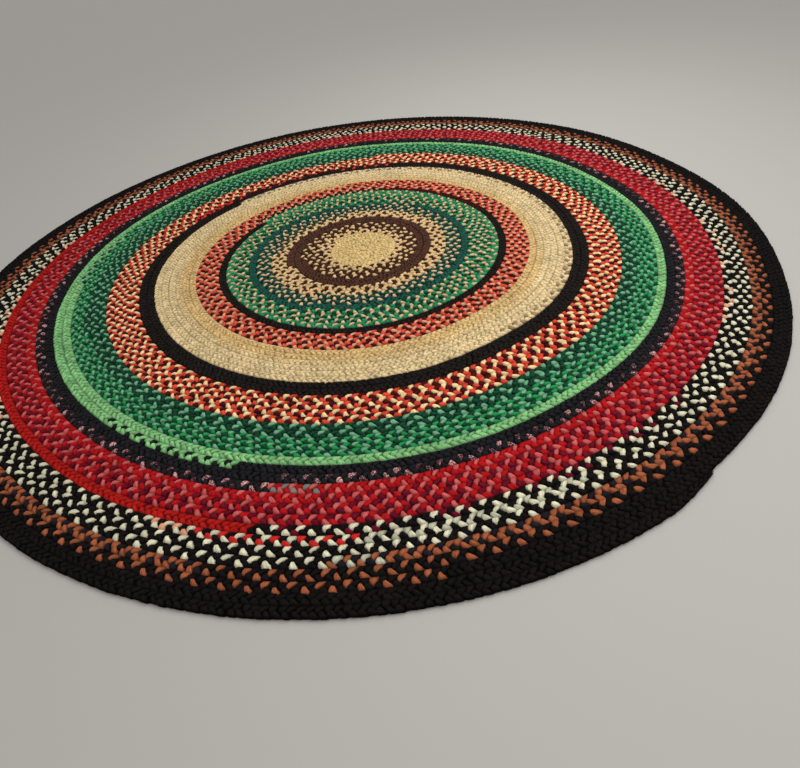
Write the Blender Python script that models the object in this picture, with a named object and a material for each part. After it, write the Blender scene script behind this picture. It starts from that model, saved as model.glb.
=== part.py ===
"""A round braided rug: one long plait of wool strips, coiled flat and laced edge to edge.

The rug lies flat with its underside at z = 0 and +Z up. The middle of its outline's
box is the origin. Seen from above, the coil opens counter-clockwise from its eye to a
tail on the rim. A place along the plait is given in turns: its whole part counts the
courses out from the eye, and its fraction is the direction, from +X towards +Y.
"""

import math

import bmesh
import bpy
import numpy as np
from mathutils.geometry import delaunay_2d_cdt

# Sizes, in metres.
THICKNESS = 0.012  # over the crown of a course
VALLEY_HEIGHT = 0.0085  # at the laced joint between two courses
RIM_HEIGHT = 0.006  # where the outermost course is widest
RIM_INSET = 0.004  # how far the underside stops short of the rim
EYE_TURN = 1.25  # the plait starts here, folded on itself
TAIL_TURN = 54.842  # and its end is tucked in here
TAIL_THIN_TURN = 54.822  # where the tail starts to narrow
TAIL_WIDTH = 0.20  # of a course, just before its end
TAIL_END = 0.004  # turns over which the blunt end closes
POINT_SPACING = 0.115  # along the plait
LEAST_POINTS = 14  # in one turn, near the eye
MM = 0.001

# Where the plait's width changes: the turn that it starts at, and its width in mm.
WIDTHS = (
    ("centre", 1.25, 29.0),
    ("beige_and_brown", 5.46, 30.0),
    ("brown", 8.53, 25.2),
    ("beige_ring", 10.56, 30.2),
    ("teal", 12.67, 29.0),
    ("green_and_beige", 15.68, 28.5),
    ("inner_black", 19.39, 27.5),
    ("coral", 20.25, 29.4),
    ("cream", 23.30, 25.5),
    ("middle_black", 29.37, 28.5),
    ("orange", 31.38, 29.5),
    ("dark_green", 35.25, 26.7),
    ("bright_green", 37.56, 22.5),
    ("light_green", 40.49, 28.2),
    ("flecked_black", 42.72, 30.5),
    ("red", 43.71, 30.4),
    ("cream_and_black", 47.72, 27.8),
    ("rust", 50.75, 29.0),
    ("outer_black", 52.77, 27.8),
    ("rim", 55.83, 27.8),
)

# How far the courses lie outside a true circle, in mm, at these mean radii in metres.
# The directions are 20 degrees apart, from +X.
OUT_OF_ROUND_RADII = (0.0, 0.22, 0.53, 0.80, 1.14, 1.52)
OUT_OF_ROUND = (
    # columns: the eye, then at 0.22, 0.53, 0.80, 1.14 and 1.52 m
    (0, -13, -11, -17, -23, -31),  # 0 degrees
    (0, -6, -3, -6, -14, -13),
    (0, -1, 1, 2, 10, 31),
    (0, 0, 6, 14, 28, 57),  # 60
    (0, 0, 7, 9, 27, 63),
    (0, 0, 5, 3, 22, 54),
    (0, 0, 2, 0, 6, 24),  # 120
    (0, 1, 2, 2, 0, 3),
    (0, 3, 4, 7, 1, -4),
    (0, 3, 5, 6, -2, -5),  # 180
    (0, 3, 4, 0, -6, -13),
    (0, 2, 1, -1, -9, -22),
    (0, 2, 0, -3, -11, -17),  # 240
    (0, 0, -5, -6, -11, -10),
    (0, -4, -11, -13, -14, -12),
    (0, -12, -19, -25, -21, -23),  # 300
    (0, -16, -16, -12, -18, -34),
    (0, -16, -15, -14, -29, -49),
)

WOOL = {"colour": (0.16, 0.085, 0.055), "roughness": 0.95, "metallic": 0.0}


def clear_scene():
    for thing in list(bpy.data.objects):
        bpy.data.objects.remove(thing)


def mean_radius(turns):
    """The radius of the plait's inner edge, were the rug a true coil."""
    starts = np.array([start for _, start, _ in WIDTHS])
    widths = np.array([width * MM for _, _, width in WIDTHS])
    reached = np.concatenate([[0.0], np.cumsum(np.diff(starts) * widths[:-1])])
    beyond = np.maximum(turns - starts[-1], 0) * widths[-1]
    return np.interp(turns, starts, reached) + beyond


def out_of_round(turns, radius):
    """How far the coil lies outside its circle, smooth from direction to direction."""
    table = np.array(OUT_OF_ROUND) * MM
    place = (turns % 1.0) * len(table)
    row = np.floor(place).astype(int)
    part = (place - row)[:, None]
    before, here, after, beyond = (table[(row + k) % len(table)] for k in (-1, 0, 1, 2))
    slope_here, slope_after = (after - before) / 2, (beyond - here) / 2
    bend = 3 * (after - here) - 2 * slope_here - slope_after
    twist = 2 * (here - after) + slope_here + slope_after
    rings = here + part * (slope_here + part * (bend + part * twist))
    column = np.clip(np.searchsorted(OUT_OF_ROUND_RADII, radius) - 1, 0, len(table[0]) - 2)
    radii = np.array(OUT_OF_ROUND_RADII)
    share = (radius - radii[column]) / (radii[column + 1] - radii[column])
    pick = np.arange(len(turns))
    return rings[pick, column] * (1 - share) + rings[pick, column + 1] * share


def edge_radius(turns):
    radius = mean_radius(turns)
    return radius + out_of_round(turns, radius)


def tail_share(turns):
    """How much of its full width the plait has: all of it, but for the tail."""
    thinning = np.interp(turns, [TAIL_THIN_TURN, TAIL_TURN - TAIL_END], [1.0, TAIL_WIDTH])
    closing = np.interp(turns, [TAIL_TURN - TAIL_END, TAIL_TURN], [1.0, 0.0])
    return thinning * closing


def along(turns, across):
    """Points at a share of the plait's width, 0 at its inner edge and 1 at its outer one."""
    inner, outer = edge_radius(turns), edge_radius(turns + 1)
    radius = inner + (outer - inner) * across * tail_share(turns)
    angle = 2 * math.pi * turns
    return np.column_stack([radius * np.cos(angle), radius * np.sin(angle)])


def spaced_turns(first, last):
    """Turns from first to last, evenly spaced in length, and closer near the eye."""
    turns = [first]
    while turns[-1] < last:
        circumference = 2 * math.pi * float(mean_radius(turns[-1] + 0.5))
        turns.append(turns[-1] + 1 / max(LEAST_POINTS, circumference / POINT_SPACING))
    spread = (last - first) / (turns[-1] - first)
    return first + (np.array(turns) - first) * spread


def rug_outline():
    """The rim, once round from the tail's end, and the step in it that the tail makes."""
    turns = spaced_turns(TAIL_TURN - 1, TAIL_TURN)
    turns = np.sort(np.append(turns[:-1], TAIL_TURN - TAIL_END))
    return along(turns, 1.0)


def middle_of(points):
    return (points.min(axis=0) + points.max(axis=0)) / 2


def crest_and_valley_lines():
    """The crown of every course, and the joint that it shares with the next one out."""
    crest = along(spaced_turns(EYE_TURN, TAIL_TURN - TAIL_END), 0.5)
    valley = along(spaced_turns(EYE_TURN + 1, TAIL_TURN - TAIL_END), 0.0)
    return (crest, THICKNESS), (valley, VALLEY_HEIGHT)


def chain(first, count, closed=False):
    links = [(first + k, first + k + 1) for k in range(count - 1)]
    return links + [(first + count - 1, first)] if closed else links


def top_surface():
    """The ribbed top as points and triangles, with the rim's points first."""
    rim = rug_outline()
    flat_points, heights = [rim], [np.full(len(rim), RIM_HEIGHT)]
    edges = chain(0, len(rim), closed=True)
    for line, height in crest_and_valley_lines():
        edges += chain(sum(map(len, flat_points)), len(line))
        flat_points.append(line)
        heights.append(np.full(len(line), height))
    flat_points = np.vstack(flat_points) - middle_of(rim)
    heights = np.concatenate(heights)
    inside_rim = 1
    made, _, faces, sources, _, _ = delaunay_2d_cdt(
        [tuple(point) for point in flat_points], edges, [], inside_rim, 1e-6
    )
    points = [
        (place.x, place.y, heights[source[0]] if source else VALLEY_HEIGHT)
        for place, source in zip(made, sources)
    ]
    rim_order = sorted(
        (source[0], index) for index, source in enumerate(sources) if source and source[0] < len(rim)
    )
    return points, faces, [index for _, index in rim_order]


def wool_material():
    material = bpy.data.materials.new("braided_wool")
    material.use_nodes = True
    shader = material.node_tree.nodes["Principled BSDF"]
    shader.inputs["Base Color"].default_value = (*WOOL["colour"], 1.0)
    shader.inputs["Roughness"].default_value = WOOL["roughness"]
    shader.inputs["Metallic"].default_value = WOOL["metallic"]
    return material


def make_rug():
    points, faces, rim = top_surface()
    mesh_maker = bmesh.new()
    verts = [mesh_maker.verts.new(point) for point in points]
    for face in faces:
        mesh_maker.faces.new([verts[index] for index in face])
    rim_verts = [verts[index] for index in rim]
    sole = []
    for vert in rim_verts:
        reach = vert.co.xy.length
        inward = (reach - RIM_INSET) / reach
        sole.append(mesh_maker.verts.new((vert.co.x * inward, vert.co.y * inward, 0.0)))
    for k, vert in enumerate(rim_verts):
        after = (k + 1) % len(rim_verts)
        mesh_maker.faces.new((vert, sole[k], sole[after], rim_verts[after]))
    mesh_maker.faces.new(list(reversed(sole)))
    bmesh.ops.recalc_face_normals(mesh_maker, faces=mesh_maker.faces)
    mesh = bpy.data.meshes.new("rug")
    mesh_maker.to_mesh(mesh)
    mesh_maker.free()
    mesh.materials.append(wool_material())
    mesh.shade_smooth()
    mesh.set_sharp_from_angle(angle=math.radians(50))
    rug = bpy.data.objects.new("rug", mesh)
    bpy.context.scene.collection.objects.link(rug)


def main():
    clear_scene()
    make_rug()


main()
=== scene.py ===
"""The looks of a round braided rug.

Every strand of the long three-strand plait shows as a row of plump lobes, above and
below. The plait follows the same coil as the solid model. A place along it is given in
turns: the whole part counts the courses out from the eye, and the fraction is the
direction, from +X towards +Y. Along a run of the plait the three strands keep their
wools. A band of colour is one run or a few, and each wool of each band is one piece.
"""

import math
from collections import namedtuple

import bpy
import numpy as np
from mathutils import Matrix, Vector


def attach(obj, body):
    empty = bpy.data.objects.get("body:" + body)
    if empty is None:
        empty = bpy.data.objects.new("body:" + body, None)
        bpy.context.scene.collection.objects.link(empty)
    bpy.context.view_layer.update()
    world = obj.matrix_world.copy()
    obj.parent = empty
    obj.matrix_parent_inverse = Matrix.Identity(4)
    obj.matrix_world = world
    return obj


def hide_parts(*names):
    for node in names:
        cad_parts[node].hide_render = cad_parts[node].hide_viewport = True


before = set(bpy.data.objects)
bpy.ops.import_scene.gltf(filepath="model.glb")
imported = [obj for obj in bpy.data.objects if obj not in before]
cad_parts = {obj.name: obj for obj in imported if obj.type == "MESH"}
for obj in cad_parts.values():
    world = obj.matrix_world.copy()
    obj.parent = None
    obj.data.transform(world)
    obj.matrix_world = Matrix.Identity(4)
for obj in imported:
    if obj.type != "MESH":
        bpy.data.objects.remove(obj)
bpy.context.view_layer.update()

MM = 0.001

# The coil, as the solid model has it.
EYE_TURN = 1.25  # the plait starts here, folded on itself
TAIL_TURN = 54.842  # and its end is tucked in here
TAIL_THIN_TURN = 54.822  # where the tail starts to narrow
TAIL_WIDTH = 0.20  # of a course, just before its end
TAIL_END = 0.004  # turns over which the blunt end closes
START_TURN = 0.70  # the lobes are counted from here, inside the eye
RIM_SAMPLES = 721  # once round the rim, to find the middle of its box

# Where the plait's width changes: the turn that it starts at, and its width in mm.
WIDTHS = (
    ("centre", 1.25, 29.0),
    ("beige_and_brown", 5.46, 30.0),
    ("brown", 8.53, 25.2),
    ("beige_ring", 10.56, 30.2),
    ("teal", 12.67, 29.0),
    ("green_and_beige", 15.68, 28.5),
    ("inner_black", 19.39, 27.5),
    ("coral", 20.25, 29.4),
    ("cream", 23.30, 25.5),
    ("middle_black", 29.37, 28.5),
    ("orange", 31.38, 29.5),
    ("dark_green", 35.25, 26.7),
    ("bright_green", 37.56, 22.5),
    ("light_green", 40.49, 28.2),
    ("flecked_black", 42.72, 30.5),
    ("red", 43.71, 30.4),
    ("cream_and_black", 47.72, 27.8),
    ("rust", 50.75, 29.0),
    ("outer_black", 52.77, 27.8),
    ("rim", 55.83, 27.8),
)

# How far the courses lie outside a true circle, in mm, at these mean radii in metres.
# The directions are 20 degrees apart, from +X.
OUT_OF_ROUND_RADII = (0.0, 0.22, 0.53, 0.80, 1.14, 1.52)
OUT_OF_ROUND = (
    # columns: the eye, then at 0.22, 0.53, 0.80, 1.14 and 1.52 m
    (0, -13, -11, -17, -23, -31),  # 0 degrees
    (0, -6, -3, -6, -14, -13),
    (0, -1, 1, 2, 10, 31),
    (0, 0, 6, 14, 28, 57),  # 60
    (0, 0, 7, 9, 27, 63),
    (0, 0, 5, 3, 22, 54),
    (0, 0, 2, 0, 6, 24),  # 120
    (0, 1, 2, 2, 0, 3),
    (0, 3, 4, 7, 1, -4),
    (0, 3, 5, 6, -2, -5),  # 180
    (0, 3, 4, 0, -6, -13),
    (0, 2, 1, -1, -9, -22),
    (0, 2, 0, -3, -11, -17),  # 240
    (0, 0, -5, -6, -11, -10),
    (0, -4, -11, -13, -14, -12),
    (0, -12, -19, -25, -21, -23),  # 300
    (0, -16, -16, -12, -18, -34),
    (0, -16, -15, -14, -29, -49),
)

STRANDS = 3
PROGRESS_STEPS = 40000  # in which the plait's cycles are counted along it

# How far a strand runs along the plait until it is back where it was.
CYCLES = (
    # columns: turn, length in mm
    (1.25, 50.0),
    (12.67, 51.0),
    (15.68, 54.0),
    (20.25, 52.0),
    (23.30, 53.0),
    (31.38, 56.5),
    (35.25, 61.0),
    (40.49, 60.0),
    (43.71, 55.0),
    (47.72, 60.5),
    (55.00, 60.5),
)

# The wools. The colours are sRGB, from 0 to 255. Stoutness is the strip's width, as a
# share of the usual one.
Wool = namedtuple("Wool", "colour fleck_colour fleck_share stoutness")
WOOLS = {
    "straw": Wool((207, 178, 118), (229, 203, 145), 0.35, 1.0),
    "sand": Wool((213, 179, 127), (228, 198, 152), 0.30, 0.96),
    "umber": Wool((62, 38, 28), (82, 54, 40), 0.25, 1.03),
    "chocolate": Wool((78, 50, 40), (96, 66, 52), 0.20, 1.0),
    "deep_teal": Wool((20, 52, 46), (36, 68, 60), 0.20, 1.04),
    "teal": Wool((31, 80, 69), (44, 92, 80), 0.20, 1.0),
    "moss": Wool((38, 130, 84), (60, 150, 102), 0.25, 1.06),
    "fir": Wool((18, 60, 42), (34, 76, 56), 0.20, 1.0),
    "oat": Wool((206, 178, 134), (222, 196, 156), 0.30, 0.78),
    "soot": Wool((30, 26, 24), (46, 40, 38), 0.12, 1.0),
    "coral": Wool((206, 72, 52), (216, 94, 72), 0.25, 1.08),
    "maroon": Wool((68, 18, 22), (86, 30, 32), 0.20, 1.04),
    "peach": Wool((216, 150, 114), (230, 174, 140), 0.25, 0.9),
    "cream": Wool((203, 173, 113), (228, 205, 163), 0.42, 1.0),
    "butter": Wool((203, 169, 111), (225, 194, 139), 0.40, 1.0),
    "oatmeal": Wool((204, 175, 112), (232, 214, 178), 0.46, 1.0),
    "heather": Wool((140, 114, 90), (176, 150, 120), 0.35, 0.85),
    "custard": Wool((240, 204, 148), (250, 220, 172), 0.25, 0.85),
    "brick": Wool((206, 64, 46), (214, 88, 64), 0.25, 0.96),
    "bottle": Wool((21, 65, 45), (34, 78, 56), 0.20, 1.0),
    "sage": Wool((103, 162, 124), (124, 176, 138), 0.30, 0.92),
    "emerald": Wool((32, 136, 73), (52, 148, 88), 0.25, 1.05),
    "apple": Wool((112, 172, 112), (150, 206, 138), 0.42, 1.0),
    "ink": Wool((29, 29, 32), (46, 45, 50), 0.12, 1.0),
    "flecked": Wool((60, 38, 46), (208, 152, 150), 0.30, 1.0),
    "scarlet": Wool((190, 34, 34), (206, 60, 54), 0.25, 1.05),
    "crimson": Wool((163, 17, 22), (174, 34, 38), 0.25, 1.12),
    "plum": Wool((98, 14, 32), (120, 30, 46), 0.20, 1.0),
    "rose": Wool((190, 82, 82), (204, 106, 102), 0.30, 0.86),
    "cherry": Wool((169, 25, 22), (180, 42, 36), 0.20, 1.0),
    "ivory": Wool((210, 206, 176), (226, 222, 198), 0.30, 0.92),
    "coal": Wool((20, 17, 17), (34, 30, 29), 0.10, 1.04),
    "pewter": Wool((116, 112, 108), (146, 142, 136), 0.30, 1.0),
    "putty": Wool((178, 180, 156), (198, 200, 178), 0.30, 0.98),
    "rust": Wool((150, 82, 53), (166, 102, 72), 0.25, 0.95),
    "slate": Wool((27, 26, 31), (46, 44, 50), 0.15, 1.04),
}

# Flecks: how fine their noise is, for each metre, and how soft their edges are.
FINE_FLECKS = (700.0, 0.06)
COARSE_FLECKS = {"flecked": (260.0, 0.06), "cream": (330.0, 0.14), "oatmeal": (330.0, 0.14)}
FLECK_REACH = 0.35  # how far the noise's level moves as the share of flecks goes from 0 to 1
FLECK_TONE = {"flecked": 0.10}  # how far a lobe's tone shifts its share of flecks

# How much lighter or darker than its wool a lobe may be: in most wools, and in a few.
EVEN_DYE = 0.11
UNEVEN_DYE = {"apple": 0.20, "flecked": 0.25, "cream": 0.14, "oatmeal": 0.14, "butter": 0.14}

# The runs of the plait, from the eye out.
RUNS = (
    # columns: turn where it starts, band, wools of the three strands
    (0.00, "centre", "straw", "straw", "straw"),
    (5.40, "brown_edge", "sand", "sand", "umber"),
    (6.48, "brown_edge", "umber", "umber", "sand"),
    (8.53, "brown", "chocolate", "chocolate", "chocolate"),
    (10.54, "beige_ring", "sand", "sand", "umber"),
    (12.28, "beige_ring", "sand", "teal", "umber"),
    (12.48, "beige_ring", "sand", "sand", "umber"),
    (12.67, "teal_edge", "deep_teal", "teal", "oat"),
    (14.67, "teal", "teal", "teal", "teal"),
    (15.155, "teal_edge", "deep_teal", "teal", "oat"),
    (15.19, "teal", "teal", "teal", "moss"),
    (15.29, "teal", "teal", "teal", "teal"),
    (15.67, "green_and_beige", "moss", "fir", "oat"),
    (18.05, "green_and_beige", "moss", "moss", "oat"),
    (19.39, "inner_black", "soot", "soot", "soot"),
    (20.07, "inner_black", "soot", "maroon", "maroon"),
    (20.22, "inner_black", "soot", "peach", "soot"),
    (20.385, "coral", "coral", "maroon", "peach"),
    (23.26, "coral", "coral", "butter", "butter"),
    (23.33, "cream", "butter", "butter", "butter"),
    (24.95, "cream", "cream", "cream", "cream"),
    (25.90, "cream", "oatmeal", "oatmeal", "oatmeal"),
    (28.84, "cream", "oatmeal", "oatmeal", "heather"),
    (29.20, "cream", "oatmeal", "oatmeal", "pewter"),
    (29.37, "middle_black", "soot", "soot", "soot"),
    (31.22, "middle_black", "soot", "maroon", "maroon"),
    (31.37, "orange", "scarlet", "maroon", "brick"),
    (31.415, "orange", "custard", "brick", "maroon"),
    (35.235, "dark_green", "bottle", "bottle", "sage"),
    (37.56, "bright_green", "emerald", "sage", "bottle"),
    (40.44, "bright_green", "apple", "sage", "bottle"),
    (40.50, "light_green", "apple", "apple", "apple"),
    (41.632, "light_green", "apple", "apple", "ink"),
    (41.700, "outer_ink", "ink", "ink", "ink"),
    (42.717, "flecked_black", "ink", "ink", "flecked"),
    (43.714, "red", "rose", "crimson", "pewter"),
    (43.731, "red", "crimson", "crimson", "rose"),
    (44.731, "red", "crimson", "plum", "rose"),
    (47.32, "plain_red", "cherry", "cherry", "cherry"),
    (47.713, "cream_and_black", "ivory", "coal", "coal"),
    (48.683, "cream_and_black", "ivory", "peach", "coal"),
    (48.697, "cream_and_black", "ivory", "scarlet", "coal"),
    (48.745, "cream_and_black", "ivory", "putty", "coal"),
    (48.81, "cream_and_black", "ivory", "coal", "coal"),
    (50.737, "cream_and_black", "putty", "rust", "slate"),
    (50.750, "rust", "rust", "rust", "slate"),
    (51.705, "rust", "rust", "coal", "coal"),
    (52.765, "outer_black", "coal", "coal", "coal"),
)

# Strips that were pieced into a run.
PIECED_IN = (
    # columns: first turn, last turn, strand, wool, share of its lobes
    (20.07, 20.22, 1, "coral", 0.25),
    (31.22, 31.37, 2, "brick", 0.35),
    (47.72, 47.86, 1, "plum", 0.5),
    (47.86, 48.60, 1, "peach", 0.30),
    (47.90, 48.60, 2, "maroon", 0.12),
)

# A lobe, from the course's edge to its tip. Across is in widths of the course, out from
# its middle; along and the half width are in cycles; heights are in mm. The crown's line
# runs down the middle of the lobe, and its flanks go down into the plait's inside.
ABOVE_ROWS = (
    # columns: crown across, crown height, flank across, flank height, along, half width
    (0.60, 5.2, 0.60, 5.2, 0.080, 0.200),
    (0.47, 9.9, 0.49, 5.2, 0.062, 0.210),
    (0.27, 12.0, 0.28, 5.2, 0.012, 0.205),
    (0.03, 12.0, 0.03, 5.2, -0.045, 0.130),
    (-0.26, 5.2, -0.26, 5.2, -0.085, 0.030),
)
BELOW_ROWS = (
    # the same columns
    (0.55, 4.9, 0.55, 4.9, -0.12, 0.160),
    (0.27, 0.15, 0.27, 4.9, -0.03, 0.205),
    (-0.12, 4.9, -0.12, 4.9, 0.140, 0.060),
)
# On the rim the strand is seen wrapping round the plait's edge, down to the floor.
RIM_ROWS = (
    # the same columns
    (0.36, 0.2, 0.34, 2.5, 0.095, 0.170),
    (0.47, 1.6, 0.40, 2.5, 0.090, 0.200),
    (0.50, 5.6, 0.43, 5.6, 0.080, 0.210),
    (0.46, 9.4, 0.41, 5.2, 0.062, 0.210),
    (0.29, 12.0, 0.29, 5.2, 0.018, 0.205),
    (0.05, 12.0, 0.05, 5.2, -0.042, 0.135),
    (-0.24, 5.2, -0.24, 5.2, -0.085, 0.030),
)
# Across a lobe: share of its half width, and how far up from flank to crown.
ABOVE_COLUMNS = ((-1.0, 0.0), (-0.54, 0.90), (0.48, 1.0), (1.0, 0.0))
BELOW_COLUMNS = ((-1.0, 0.0), (0.0, 1.0), (1.0, 0.0))
LEAN_CENTRE = 0.22  # how far across a lobe leans about
RIM_LEAD = 0.006  # turns by which the rim's lobes start early, under the tail's end
RIM_TURN = TAIL_TURN - 1 - RIM_LEAD  # from here on the course's outer edge is the rim
RIM_BELOW_REACH = 0.93  # how far across the outermost course its underside lobes reach

# A lobe's place on its strip of wool, for the folds in the cloth.
STRIP_ACROSS = 0.06  # for each cycle along the plait
STRIP_ALONG = 0.035  # for each width of the course
STRIP_SHIFT = 7.0  # how far apart on the strip two lobes are, for each step of tone

# The strand folded over at the eye: a small dome, above and below.
FIRST_LOBE_TURN = 0.9  # the lobes start here, under the fold
FOLD_PLACE = (1.0 * MM, -1.0 * MM)  # from the eye
FOLD_REACH = (12.0 * MM, 8.5 * MM)  # half its length and half its width
FOLD_SLANT = math.radians(-14)
FOLD_HEIGHTS = ((6.0, 12.3), (5.0, 0.2))  # in mm, at its edge and crown: above, then below
FOLD_POINTS = 7  # along each side of its grid

# How uneven the handwork is.
SEED = 11  # for the lobes
LUCK_SEED = 12  # for the strips that were pieced in
PULL_SEED = 13  # for how tightly the plait was pulled
UNEVEN_PULL = 0.09  # share of a cycle's length
PULL_LENGTH = 0.45  # metres of plait from one pull to the next
UNEVEN_SWAY = 0.06  # of the whole plait, in widths of the course
SWAY_CYCLES = 4.5  # cycles from one sway to the next
UNEVEN_ALONG = 0.034  # in cycles
UNEVEN_ACROSS = 0.035  # in widths of the course
UNEVEN_HEIGHT = 0.06  # share of a lobe's height
UNEVEN_GIRTH = 0.14  # share of a lobe's width
UNEVEN_LEAN = 0.16  # cycles along for each width across
UNEVEN_POINT = (0.014, 0.018, 0.16)  # of each point: cycles along, widths across, mm up


# ---------------------------------------------------------------- the coil

def mean_radius(turns):
    """The radius of the plait's inner edge, were the rug a true coil."""
    starts = np.array([start for _, start, _ in WIDTHS])
    widths = np.array([width * MM for _, _, width in WIDTHS])
    reached = np.concatenate([[0.0], np.cumsum(np.diff(starts) * widths[:-1])])
    beyond = np.maximum(turns - starts[-1], 0) * widths[-1]
    return np.interp(turns, starts, reached) + beyond


def out_of_round(turns, radius):
    """How far the coil lies outside its circle, smooth from direction to direction."""
    table = np.array(OUT_OF_ROUND) * MM
    place = (turns % 1.0) * len(table)
    row = np.floor(place).astype(int)
    part = (place - row)[:, None]
    before, here, after, beyond = (table[(row + k) % len(table)] for k in (-1, 0, 1, 2))
    slope_here, slope_after = (after - before) / 2, (beyond - here) / 2
    bend = 3 * (after - here) - 2 * slope_here - slope_after
    twist = 2 * (here - after) + slope_here + slope_after
    rings = here + part * (slope_here + part * (bend + part * twist))
    column = np.clip(np.searchsorted(OUT_OF_ROUND_RADII, radius) - 1, 0, len(table[0]) - 2)
    radii = np.array(OUT_OF_ROUND_RADII)
    share = (radius - radii[column]) / (radii[column + 1] - radii[column])
    pick = np.arange(len(turns))
    return rings[pick, column] * (1 - share) + rings[pick, column + 1] * share


def edge_radius(turns):
    radius = mean_radius(turns)
    return radius + out_of_round(turns, radius)


def tail_share(turns):
    """How much of its full width the plait has: all of it, but for the tail."""
    thinning = np.interp(turns, [TAIL_THIN_TURN, TAIL_TURN - TAIL_END], [1.0, TAIL_WIDTH])
    closing = np.interp(turns, [TAIL_TURN - TAIL_END, TAIL_TURN], [1.0, 0.0])
    return thinning * closing


def along(turns, across):
    """Points at a share of the plait's width, 0 at its inner edge and 1 at its outer one."""
    inner, outer = edge_radius(turns), edge_radius(turns + 1)
    radius = np.maximum(inner + (outer - inner) * across * tail_share(turns), 0)
    angle = 2 * math.pi * turns
    return np.column_stack([radius * np.cos(angle), radius * np.sin(angle)])


def box_middle():
    """The middle of the outline's box, seen from the eye: the solid model's origin."""
    rim = along(np.linspace(TAIL_TURN - 1, TAIL_TURN, RIM_SAMPLES), 1.0)
    return (rim.min(axis=0) + rim.max(axis=0)) / 2


MIDDLE = box_middle()


# ---------------------------------------------------------------- the strands

def plait_progress():
    """Turns along the plait, and the cycles and the middle radius reached by each."""
    turns = np.linspace(START_TURN, TAIL_TURN - TAIL_END, PROGRESS_STEPS + 1)
    radius = (edge_radius(turns) + edge_radius(turns + 1)) / 2
    cycle_turns, lengths = np.array(CYCLES).T
    cycle = np.interp(turns, cycle_turns, lengths * MM)
    reached = np.concatenate([[0.0], np.cumsum(2 * math.pi * radius[1:] * np.diff(turns))])
    pulls = np.random.default_rng(PULL_SEED).uniform(-1, 1, int(reached[-1] / PULL_LENGTH) + 2)
    pull = np.interp(reached / PULL_LENGTH, np.arange(len(pulls)), pulls)
    cycle = cycle * (1 + UNEVEN_PULL * pull)
    rate = 2 * math.pi * radius / cycle
    steps = (rate[1:] + rate[:-1]) / 2 * np.diff(turns)
    return turns, np.concatenate([[0.0], np.cumsum(steps)]), radius, cycle


def make_lobes():
    """Every lobe of the plait: its turn, side, strand, run and unevenness."""
    turns, cycles, radius, cycle = plait_progress()
    count = int(cycles[-1] * STRANDS)
    number = np.tile(np.arange(count), 2)
    side = np.repeat([1, -1], count)  # the outer lobes, then the inner ones
    phase = number / STRANDS + np.where(side > 0, 0.0, 0.5 / STRANDS)
    chance = np.random.default_rng(SEED)
    spread = chance.uniform(-1, 1, (len(number), 6))
    sways = chance.uniform(-1, 1, int(cycles[-1] / SWAY_CYCLES) + 2)
    sway = np.interp(phase / SWAY_CYCLES, np.arange(len(sways)), sways) * UNEVEN_SWAY
    lobes = {
        "turn": np.interp(phase, cycles, turns),
        "side": side,
        "strand": np.where(side > 0, number, number - 1) % STRANDS,
        "radius": np.interp(phase, cycles, radius),
        "cycle": np.interp(phase, cycles, cycle),
        "ahead": spread[:, 0] * UNEVEN_ALONG,
        "outward": spread[:, 1] * UNEVEN_ACROSS + side * sway,
        "height": 1 + spread[:, 2] * UNEVEN_HEIGHT - UNEVEN_HEIGHT / 2,
        "girth": 1 + spread[:, 3] * UNEVEN_GIRTH,
        "tone": spread[:, 4],
        "lean": spread[:, 5] * UNEVEN_LEAN,
    }
    starts = [start for start, *_ in RUNS]
    lobes["run"] = np.searchsorted(starts, lobes["turn"], side="right") - 1
    return lobes


def wool_of_each(lobes):
    """The piece that each lobe belongs to: its band's name and its wool's."""
    names = []
    luck = np.random.default_rng(LUCK_SEED).uniform(size=len(lobes["turn"]))
    for run, strand, turn, drawn in zip(lobes["run"], lobes["strand"], lobes["turn"], luck):
        _, band, *wools = RUNS[run]
        wool = wools[strand]
        for first, last, pieced, other, share in PIECED_IN:
            if pieced == strand and first <= turn < last and drawn < share:
                wool = other
        names.append((band, wool))
    return names


def lobe_points(lobes, pick, rows, columns, above):
    """The points of the picked lobes, as an array of lobe, row, column and xyz."""
    crown_across, crown_up, flank_across, flank_up, ahead, half = np.array(rows).T[:, None, :, None]
    reach, rise = np.array(columns).T[:, None, None, :]
    lobe = {name: values[pick][:, None, None] for name, values in lobes.items()}
    turned = 1 if above else -1  # so that the faces below look down
    shift = (ahead + half * lobe["girth"] * reach * turned + lobe["ahead"]) * lobe["cycle"]
    across = flank_across + (crown_across - flank_across) * rise
    shift = shift + lobe["lean"] * (across - LEAN_CENTRE) * lobe["cycle"]
    across = across + lobe["outward"]
    lift = lobe["height"] if above else 1.0
    height = flank_up + (crown_up - flank_up) * rise * lift
    shift, across, height = np.broadcast_arrays(shift, across, height)
    if above:
        jitter = np.random.default_rng(SEED + len(pick)).uniform(-1, 1, (3, *shift.shape))
        shift = shift + jitter[0] * UNEVEN_POINT[0] * lobe["cycle"]
        across = across + jitter[1] * UNEVEN_POINT[1]
        height = np.maximum(height + jitter[2] * UNEVEN_POINT[2] * (rise > 0), 0.0)
    turns = lobe["turn"] + shift / (2 * math.pi * lobe["radius"])
    turns = np.minimum(turns, TAIL_TURN - TAIL_END)
    across = 0.5 + lobe["side"] * across
    if not above:
        rim = lobe["turn"] > RIM_TURN
        across = np.where(rim, np.minimum(across, RIM_BELOW_REACH), across)
    flat = along(turns.ravel(), across.ravel()) - MIDDLE
    return np.concatenate([flat.reshape(*turns.shape, 2), height[..., None] * MM], axis=3)


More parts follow.
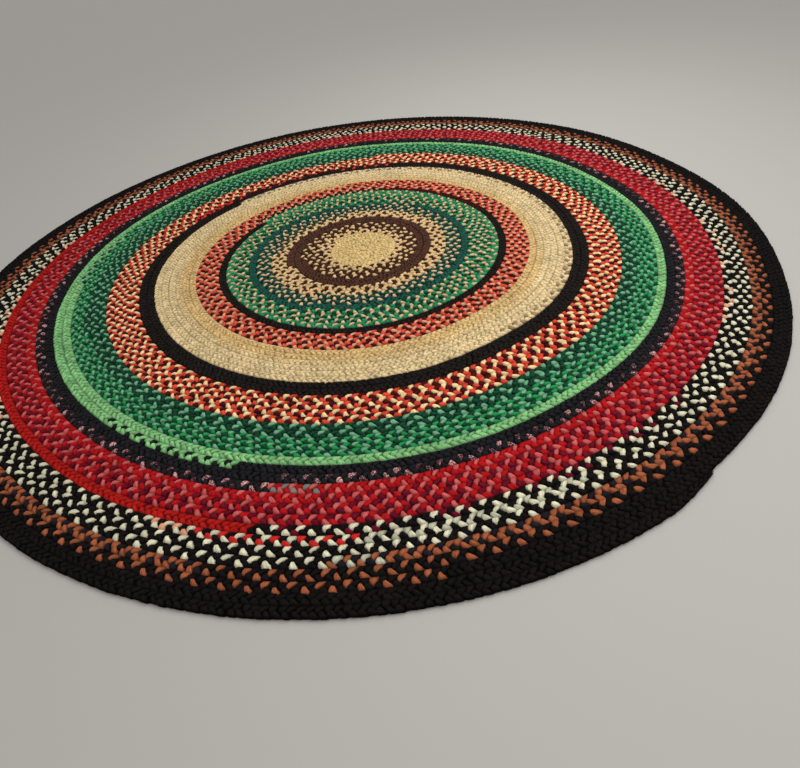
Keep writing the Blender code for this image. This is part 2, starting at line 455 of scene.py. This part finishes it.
def patch_quads(rows, columns, flipped):
    """The quads of one patch of points, with their fronts up unless flipped."""
    row, column = np.meshgrid(np.arange(rows - 1), np.arange(columns - 1), indexing="ij")
    corner = (row * columns + column).ravel()
    quads = np.column_stack([corner, corner + 1, corner + columns + 1, corner + columns])
    return quads[:, ::-1] if flipped else quads


def strip_places(rows, columns, tone):
    """Where the points of lobes of these tones are on their strips of wool."""
    down, half = np.array([(row[0], row[5]) for row in rows]).T
    reach = np.array([column[0] for column in columns])
    across = half[:, None] * reach[None] * STRIP_ACROSS
    lengthways = np.broadcast_to(down[:, None] * STRIP_ALONG, across.shape)
    places = np.stack([across, lengthways], axis=2)[None] + tone[:, None, None, None] * STRIP_SHIFT
    return places.reshape(-1, 2)


def lobe_mesh(lobes, pick, rows, columns, above):
    """Vertices, faces, and each vertex's place on its strip and tone, for some lobes."""
    verts, faces, strip, tone = [], [], [], []
    size = len(rows) * len(columns)
    for side in (1, -1):
        some = pick[lobes["side"][pick] == side]
        if not len(some):
            continue
        points = lobe_points(lobes, some, rows, columns, above)
        quads = patch_quads(len(rows), len(columns), flipped=side < 0)
        first = sum(map(len, verts)) + np.arange(len(some))[:, None, None] * size
        faces.append((quads[None] + first).reshape(-1, 4))
        verts.append(points.reshape(-1, 3))
        strip.append(strip_places(rows, columns, lobes["tone"][some]))
        tone.append(np.repeat(lobes["tone"][some], size))
    return np.vstack(verts), np.vstack(faces), np.vstack(strip), np.concatenate(tone)


def eye_fold(above):
    """The dome of the strand that is folded over at the eye, on a rounded square grid."""
    reach = np.linspace(-1, 1, FOLD_POINTS)
    long, wide = np.meshgrid(reach, reach, indexing="ij")
    long, wide = long * np.sqrt(1 - wide**2 / 2), wide * np.sqrt(1 - long**2 / 2)
    edge, crown = FOLD_HEIGHTS[0 if above else 1]
    rise = np.sqrt(np.clip(1 - long**2 - wide**2, 0, 1))
    height = (edge + (crown - edge) * rise) * MM
    x, y = long * FOLD_REACH[0], wide * FOLD_REACH[1]
    cos, sin = math.cos(FOLD_SLANT), math.sin(FOLD_SLANT)
    x, y = x * cos - y * sin, x * sin + y * cos
    place = FOLD_PLACE - MIDDLE
    verts = np.column_stack([x.ravel() + place[0], y.ravel() + place[1], height.ravel()])
    quads = patch_quads(FOLD_POINTS, FOLD_POINTS, flipped=above)
    strip = np.column_stack([wide.ravel(), long.ravel()]) * FOLD_REACH[1]
    return verts, quads, strip, np.zeros(len(verts))


def joined(parts):
    """Several parts' vertices, faces, places and tones as one."""
    verts, faces, strip, tone = zip(*parts)
    starts = np.concatenate([[0], np.cumsum([len(some) for some in verts])[:-1]])
    faces = [some + start for some, start in zip(faces, starts)]
    return np.vstack(verts), np.vstack(faces), np.vstack(strip), np.concatenate(tone)


def add_object(name, data):
    thing = bpy.data.objects.new(name, data)
    bpy.context.scene.collection.objects.link(thing)
    return thing


def make_object(name, verts, faces, material, smooth=True):
    mesh = bpy.data.meshes.new(name)
    mesh.from_pydata(verts.tolist(), [], faces)
    mesh.materials.append(material)
    if smooth:
        mesh.shade_smooth()
    return add_object(name, mesh)


def add_point_values(mesh, name, values):
    """Stores a number for each vertex, which a material can read."""
    layer = mesh.attributes.new(name, "FLOAT", "POINT")
    layer.data.foreach_set("value", values.astype(np.float32))


def add_strip_map(mesh, strip):
    """Stores where each vertex is on its strip of wool."""
    corner_verts = np.empty(len(mesh.loops), dtype=np.int32)
    mesh.loops.foreach_get("vertex_index", corner_verts)
    layer = mesh.uv_layers.new(name="strand")
    layer.uv.foreach_set("vector", strip[corner_verts].astype(np.float32).ravel())


def make_strands():
    """One piece for each wool of each band."""
    lobes = make_lobes()
    names = wool_of_each(lobes)
    lobes["girth"] = lobes["girth"] * np.array([WOOLS[wool].stoutness for _, wool in names])
    shown = lobes["turn"] > FIRST_LOBE_TURN
    on_rim = (lobes["turn"] > RIM_TURN) & (lobes["side"] > 0)
    _, eye_band, *_ = RUNS[0]
    pieces = []
    for band, wool in sorted(set(names)):
        chosen = np.array([name == (band, wool) for name in names]) & shown
        parts = []
        for which, rows, columns, above in (
            (chosen & ~on_rim, ABOVE_ROWS, ABOVE_COLUMNS, True),
            (chosen & on_rim, RIM_ROWS, ABOVE_COLUMNS, True),
            (chosen, BELOW_ROWS, BELOW_COLUMNS, False),
        ):
            pick = np.flatnonzero(which)
            if len(pick):
                parts.append(lobe_mesh(lobes, pick, rows, columns, above))
        if band == eye_band:
            parts += [eye_fold(above=True), eye_fold(above=False)]
        verts, faces, strip, tone = joined(parts)
        piece = make_object(f"{band}_{wool}", verts, faces.tolist(), wool_material(wool))
        add_strip_map(piece.data, strip)
        add_point_values(piece.data, "tone", tone)
        pieces.append(piece)
    return pieces


# ---------------------------------------------------------------- materials

def linear(colour):
    """An sRGB colour from 0 to 255 as the linear colour that shaders take."""
    share = np.array(colour) / 255
    return np.where(share <= 0.04045, share / 12.92, ((share + 0.055) / 1.055) ** 2.4)


def shader_colour(colour, gain=1.0):
    return (*np.clip(linear(colour) * gain, 0, 1).tolist(), 1.0)


SHADER_INPUTS = {
    "colour": "Base Color",
    "roughness": "Roughness",
    "normal": "Normal",
    "specular": "Specular IOR Level",
    "sheen": "Sheen Weight",
    "sheen_roughness": "Sheen Roughness",
    "sheen_tint": "Sheen Tint",
}


class Nodes:
    """A material's nodes, made and linked in one go."""

    def __init__(self, name):
        self.material = bpy.data.materials.new(name)
        self.material.use_nodes = True
        self.tree = self.material.node_tree
        self.shader = self.tree.nodes["Principled BSDF"]

    def add(self, kind, inputs=(), **settings):
        node = self.tree.nodes.new(kind)
        for name, value in settings.items():
            setattr(node, name, value)
        for socket, value in dict(inputs).items():
            self.set(node.inputs[socket], value)
        return node

    def set(self, socket, value):
        if isinstance(value, bpy.types.NodeSocket):
            self.tree.links.new(value, socket)
        else:
            socket.default_value = value

    def math(self, operation, first, second):
        node = self.add("ShaderNodeMath", {0: first, 1: second}, operation=operation)
        return node.outputs[0]

    def mix(self, share, first, second, blend="MIX"):
        node = self.add("ShaderNodeMix", data_type="RGBA", blend_type=blend)
        for socket, value in zip((0, 6, 7), (share, first, second)):
            self.set(node.inputs[socket], value)
        return node.outputs[2]

    def noise(self, vector, scale, detail=2.0):
        node = self.add("ShaderNodeTexNoise", {"Vector": vector, "Scale": scale, "Detail": detail})
        return node.outputs["Fac"]

    def remap(self, value, low, high, to_low, to_high):
        inputs = {0: value, 1: low, 2: high, 3: to_low, 4: to_high}
        return self.add("ShaderNodeMapRange", inputs).outputs[0]

    def shaded(self, colour, shade):
        """A colour times a number."""
        grey = self.add("ShaderNodeCombineColor", {0: shade, 1: shade, 2: shade}).outputs[0]
        return self.mix(1.0, colour, grey, "MULTIPLY")

    def bump(self, height, strength, distance, normal=None):
        inputs = {"Height": height, "Strength": strength, "Distance": distance}
        if normal is not None:
            inputs["Normal"] = normal
        return self.add("ShaderNodeBump", inputs).outputs[0]

    def with_looks(self, **looks):
        """The material, once these inputs of its shader are set."""
        for name, value in looks.items():
            self.set(self.shader.inputs[SHADER_INPUTS[name]], value)
        return self.material


# How wool looks. A shade is a factor on the colour. Where a noise makes the shade or the
# roughness, the four numbers are the noise's range and theirs. A bump is a strength and
# a depth. Scales are for each metre.
MIDDLE_HEIGHT = 6.0 * MM  # of the plait, where the lobes above and below meet
GROOVE = (2.0 * MM, 5.4 * MM)  # this far off the middle, a groove's shade begins and ends
GROOVE_SHADE = 0.22  # at its darkest, in black wool
GROOVE_GLOW = 0.46  # how much lighter that is for each share of light the wool sends back
COLOUR_GAIN = 1.125  # makes up for the grooves, so that a band has its wools' colours
WEAR_SCALE = 9.0
WEAR_SHADE = (0.3, 0.7, 0.92, 1.08)
FOLD_SCALE = (170.0, 45.0, 1.0)  # across the strip and along it
# painted shade in the cloth's folds and painted highlight on their ridges, as a factor on the colour
FOLD_PAINTED_SHADE_AND_HIGHLIGHT = (0.32, 0.66, 0.74, 1.14)
FOLD_BUMP = (1.0, 3.0 * MM)
FELT_SCALE = 1400.0
FINE_DETAIL = 3.0  # of the noises that make flecks and felt
FELT_BUMP = (0.6, 0.4 * MM)
FELT_ROUGHNESS = (0.3, 0.7, 0.86, 1.0)
SPECULAR = 0.05
SHEEN = 0.03
SHEEN_ROUGHNESS = 0.5


def flecked_colour(nodes, wool, place, tone):
    """The wool's two colours, mixed in flecks. In some wools the tone shifts their share."""
    scale, softness = COARSE_FLECKS.get(wool, FINE_FLECKS)
    colour, fleck_colour, fleck_share, _ = WOOLS[wool]
    level = 0.5 + FLECK_REACH * (0.5 - fleck_share)
    shift = nodes.math("MULTIPLY", tone, FLECK_TONE.get(wool, 0.0))
    flecks = nodes.math("ADD", nodes.noise(place, scale, FINE_DETAIL), shift)
    mask = nodes.remap(flecks, level - softness, level + softness, 0.0, 1.0)
    return nodes.mix(
        mask, shader_colour(colour, COLOUR_GAIN), shader_colour(fleck_colour, COLOUR_GAIN)
    )


def groove_shade(nodes, wool, place):
    """The shade between the lobes, where light hardly comes."""
    up = nodes.add("ShaderNodeSeparateXYZ", {0: place}).outputs["Z"]
    depth = nodes.math("ABSOLUTE", nodes.math("SUBTRACT", up, MIDDLE_HEIGHT), 0.0)
    darkest = GROOVE_SHADE + GROOVE_GLOW * float(linear(WOOLS[wool].colour).max())
    return nodes.remap(depth, *GROOVE, darkest, 1.0)


def wool_material(wool):
    """A strip of felted wool: flecks, a tone of its own in each lobe, folds and felt, with painted
    shade and highlight on the folds and painted shade in the grooves.
    """
    name = f"wool_{wool}"
    if name in bpy.data.materials:
        return bpy.data.materials[name]
    nodes = Nodes(name)
    place = nodes.add("ShaderNodeTexCoord").outputs["Object"]
    strip = nodes.add("ShaderNodeUVMap", uv_map="strand").outputs["UV"]
    tone = nodes.add("ShaderNodeAttribute", attribute_name="tone").outputs["Fac"]
    colour = flecked_colour(nodes, wool, place, tone)
    folds_at = nodes.add("ShaderNodeMapping", {"Vector": strip, "Scale": FOLD_SCALE}).outputs[0]
    folds = nodes.noise(folds_at, 1.0)
    wear = nodes.remap(nodes.noise(place, WEAR_SCALE), *WEAR_SHADE)
    dye = nodes.math("MULTIPLY", tone, UNEVEN_DYE.get(wool, EVEN_DYE))
    shade = nodes.math("ADD", wear, dye)
    # painted shade in the cloth's folds and painted highlight on their ridges; the grooves' shade,
    # painted too, comes next
    shade = nodes.math("MULTIPLY", shade, nodes.remap(folds, *FOLD_PAINTED_SHADE_AND_HIGHLIGHT))
    shade = nodes.math("MULTIPLY", shade, groove_shade(nodes, wool, place))
    felt = nodes.noise(place, FELT_SCALE, FINE_DETAIL)
    return nodes.with_looks(
        colour=nodes.shaded(colour, shade),
        normal=nodes.bump(felt, *FELT_BUMP, normal=nodes.bump(folds, *FOLD_BUMP)),
        roughness=nodes.remap(felt, *FELT_ROUGHNESS),
        specular=SPECULAR,
        sheen=SHEEN,
        sheen_roughness=SHEEN_ROUGHNESS,
        sheen_tint=shader_colour(WOOLS[wool].fleck_colour),
    )


# ---------------------------------------------------------------- the plait's inside

# The ground that shows between the lobes: a thin sheet inside the plait.
GROUND_TOP = 6.1 * MM
GROUND_BOTTOM = 4.8 * MM
GROUND_INSET = 5 * MM  # from the rim, so that the strands hide its edge
GROUND_DIRECTIONS = 240
GROUND_RINGS = 30
GROUND_SHADE = 0.05  # the strands that cross there are the same wools, in shade
GROUND_GLOW = 0.75  # how much lighter they are for each share of light the wool sends back
GROUND_FELT_SCALE = 900.0
GROUND_FELT_SHADE = (0.3, 0.7, 0.8, 1.2)
GROUND_BUMP = (0.6, 0.5 * MM)
GROUND_ROUGHNESS = 0.95
GROUND_SPECULAR = 0.1
TURN_RANGE = 56.0  # a little over the last turn


def main_runs():
    """Where each band starts, and the wools of its longest run."""
    ends = [start for start, *_ in RUNS[1:]] + [TAIL_TURN]
    stops, last_band, longest = [], None, 0.0
    for (start, band, *wools), end in zip(RUNS, ends):
        if band != last_band:
            stops.append((start, wools))
            longest = end - start
        elif end - start > longest:
            stops[-1] = (stops[-1][0], wools)
            longest = end - start
        last_band = band
    return stops


def ground_ramp(nodes):
    """The colour at each turn: the mean of its run's wools, darkened."""
    turn = nodes.add("ShaderNodeAttribute", attribute_name="turn").outputs["Fac"]
    ramp = nodes.add("ShaderNodeValToRGB", {"Fac": nodes.math("DIVIDE", turn, TURN_RANGE)})
    ramp.color_ramp.interpolation = "CONSTANT"
    stops = main_runs()
    points = ramp.color_ramp.elements
    while len(points) < len(stops):
        points.new(1.0)
    for point, (start, wools) in zip(points, stops):
        colours = np.array([linear(WOOLS[wool].colour) for wool in wools])
        shade = GROUND_SHADE + GROUND_GLOW * colours.max(axis=1).min()
        point.position = start / TURN_RANGE
        point.color = (*(colours.mean(axis=0) * shade).tolist(), 1.0)
    return ramp.outputs["Color"]


def ground_material():
    """The plait's inside, in the shade of the lobes."""
    nodes = Nodes("plait_inside")
    colour = ground_ramp(nodes)
    place = nodes.add("ShaderNodeTexCoord").outputs["Object"]
    felt = nodes.noise(place, GROUND_FELT_SCALE, FINE_DETAIL)
    return nodes.with_looks(
        colour=nodes.shaded(colour, nodes.remap(felt, *GROUND_FELT_SHADE)),
        normal=nodes.bump(felt, *GROUND_BUMP),
        roughness=GROUND_ROUGHNESS,
        specular=GROUND_SPECULAR,
    )


def rim_radius(direction):
    """The rug's outer radius, for directions in turns from 0 to 1."""
    last = direction + np.floor(TAIL_TURN - direction)
    inner, outer = edge_radius(last), edge_radius(last + 1)
    return inner + (outer - inner) * tail_share(last)


def ground_points():
    """The sheet's flat points, ring by ring and then the eye, and each one's turn."""
    direction = np.arange(GROUND_DIRECTIONS) / GROUND_DIRECTIONS
    share = np.arange(1, GROUND_RINGS + 1) / GROUND_RINGS
    radius = (rim_radius(direction) - GROUND_INSET)[None] * share[:, None]
    angle = 2 * math.pi * direction[None]
    rings = np.dstack([radius * np.cos(angle), radius * np.sin(angle)]).reshape(-1, 2)
    flat = np.vstack([rings, [[0.0, 0.0]]]) - MIDDLE
    whole = np.arange(1, int(TAIL_TURN) + 2)
    turn = np.empty(radius.shape)
    for k, part in enumerate(direction):
        turn[:, k] = np.interp(radius[:, k], edge_radius(whole + part), whole + part)
    return flat, np.append(turn.ravel(), EYE_TURN)


def ground_faces(count):
    """The faces of the sheet's top and underside, of so many points each, and its edge."""
    step = GROUND_DIRECTIONS
    last = (GROUND_RINGS - 1) * step
    faces = []
    for k in range(step):
        after = (k + 1) % step
        faces += [(count - 1, k, after), (2 * count - 1, count + after, count + k)]
        for ring in range(0, last, step):
            a, b, c, d = ring + k, ring + after, ring + step + after, ring + step + k
            faces += [(a, d, c, b), (count + a, count + b, count + c, count + d)]
        a, b = last + k, last + after
        faces.append((a, count + a, count + b, b))
    return faces


def area_inside(outline):
    x, y = outline.T
    return 0.5 * abs(np.sum(x * np.roll(y, -1) - y * np.roll(x, -1)))


def make_ground():
    """A thin closed cloth inside the plait, which the strands hide but for small gaps."""
    flat, turn = ground_points()
    top, underside = (
        np.column_stack([flat, np.full(len(flat), height)]) for height in (GROUND_TOP, GROUND_BOTTOM)
    )
    ground = make_object(
        "plait_inside",
        np.vstack([top, underside]),
        ground_faces(len(flat)),
        ground_material(),
        smooth=False,
    )
    add_point_values(ground.data, "turn", np.tile(turn, 2))
    outline = flat[-1 - GROUND_DIRECTIONS : -1]
    return ground, area_inside(outline), outline.max(axis=0) - outline.min(axis=0)


# ---------------------------------------------------------------- the stage

FLOOR_HALF = 150.0  # half its side
FLOOR_COLOUR = (0.44, 0.43, 0.41, 1.0)
FLOOR_ROUGHNESS = 0.75

CAMERA_HEIGHT = 1.12  # above the floor
CAMERA_FROM_EYE = (0.0814, -2.1309)  # the place on the floor below the camera
CAMERA_LENS = 27.0  # in mm, as its sensor's width is
CAMERA_SENSOR = 36.0
CAMERA_REACH = 500.0  # past the floor's corners
CAMERA_DOWN = math.radians(40.516)
CAMERA_ROLL = math.radians(-6.918)

SKY_COLOUR = (1.0, 0.985, 0.96, 1.0)
SKY_STRENGTH = 0.46
SOFT_LIGHTS = (
    # columns: name, the side that it comes from, breadth in degrees, strength, colour
    ("window", (0.3, 0.8, 1.1), 45.0, 0.52, (1.0, 0.98, 0.95)),
    ("fill", (-0.2, -0.9, 1.4), 60.0, 0.36, (1.0, 0.97, 0.93)),
)

# A long soft box hangs over the right half of the rug, so the left is dimmer.
SOFT_BOX_PLACE = (1.0, -0.1, 2.1)
SOFT_BOX_SIZE = (2.0, 4.4)
SOFT_BOX_POWER = 42.0
SOFT_BOX_COLOUR = (1.0, 0.975, 0.94)


def make_floor():
    material = Nodes("pale_floor").with_looks(colour=FLOOR_COLOUR, roughness=FLOOR_ROUGHNESS)
    corners = ((-1, -1, 0), (1, -1, 0), (1, 1, 0), (-1, 1, 0))
    floor = make_object("floor", np.array(corners) * FLOOR_HALF, [(0, 1, 2, 3)], material)
    return floor


def make_camera():
    data = bpy.data.cameras.new("camera")
    data.lens = CAMERA_LENS
    data.sensor_width = CAMERA_SENSOR
    data.clip_end = CAMERA_REACH
    camera = add_object("camera", data)
    down, roll = CAMERA_DOWN, CAMERA_ROLL
    right, up = np.array([1.0, 0.0, 0.0]), np.array([0.0, math.sin(down), math.cos(down)])
    back = np.array([0.0, -math.cos(down), math.sin(down)])
    across = math.cos(roll) * right + math.sin(roll) * up
    upward = -math.sin(roll) * right + math.cos(roll) * up
    place = (*(np.array(CAMERA_FROM_EYE) - MIDDLE), CAMERA_HEIGHT)
    matrix = Matrix(np.column_stack([across, upward, back, place]).tolist())
    matrix.resize_4x4()
    camera.matrix_world = matrix
    bpy.context.scene.camera = camera


def add_soft_light(name, towards, breadth, strength, colour):
    """Light from one side of the studio, as soft as its breadth, and even."""
    data = bpy.data.lights.new(name, "SUN")
    data.angle = math.radians(breadth)
    data.energy = strength
    data.color = colour
    light = add_object(name, data)
    light.rotation_euler = (-Vector(towards)).to_track_quat("-Z", "Y").to_euler()


def add_soft_box():
    data = bpy.data.lights.new("strip", "AREA")
    data.shape = "RECTANGLE"
    data.size, data.size_y = SOFT_BOX_SIZE
    data.energy = SOFT_BOX_POWER
    data.color = SOFT_BOX_COLOUR
    light = add_object("strip", data)
    light.location = SOFT_BOX_PLACE
    light.visible_camera = False


def make_light():
    world = bpy.data.worlds.new("soft_sky")
    world.use_nodes = True
    background = world.node_tree.nodes["Background"]
    background.inputs["Color"].default_value = SKY_COLOUR
    background.inputs["Strength"].default_value = SKY_STRENGTH
    bpy.context.scene.world = world
    for light in SOFT_LIGHTS:
        add_soft_light(*light)
    add_soft_box()
    bpy.context.scene.view_settings.view_transform = "Standard"


# ---------------------------------------------------------------- all of it

floor = make_floor()
make_camera()
make_light()
strands = make_strands()
ground, ground_area, ground_size = make_ground()

for piece in [*strands, ground]:
    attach(piece, "root")
    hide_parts("rug")
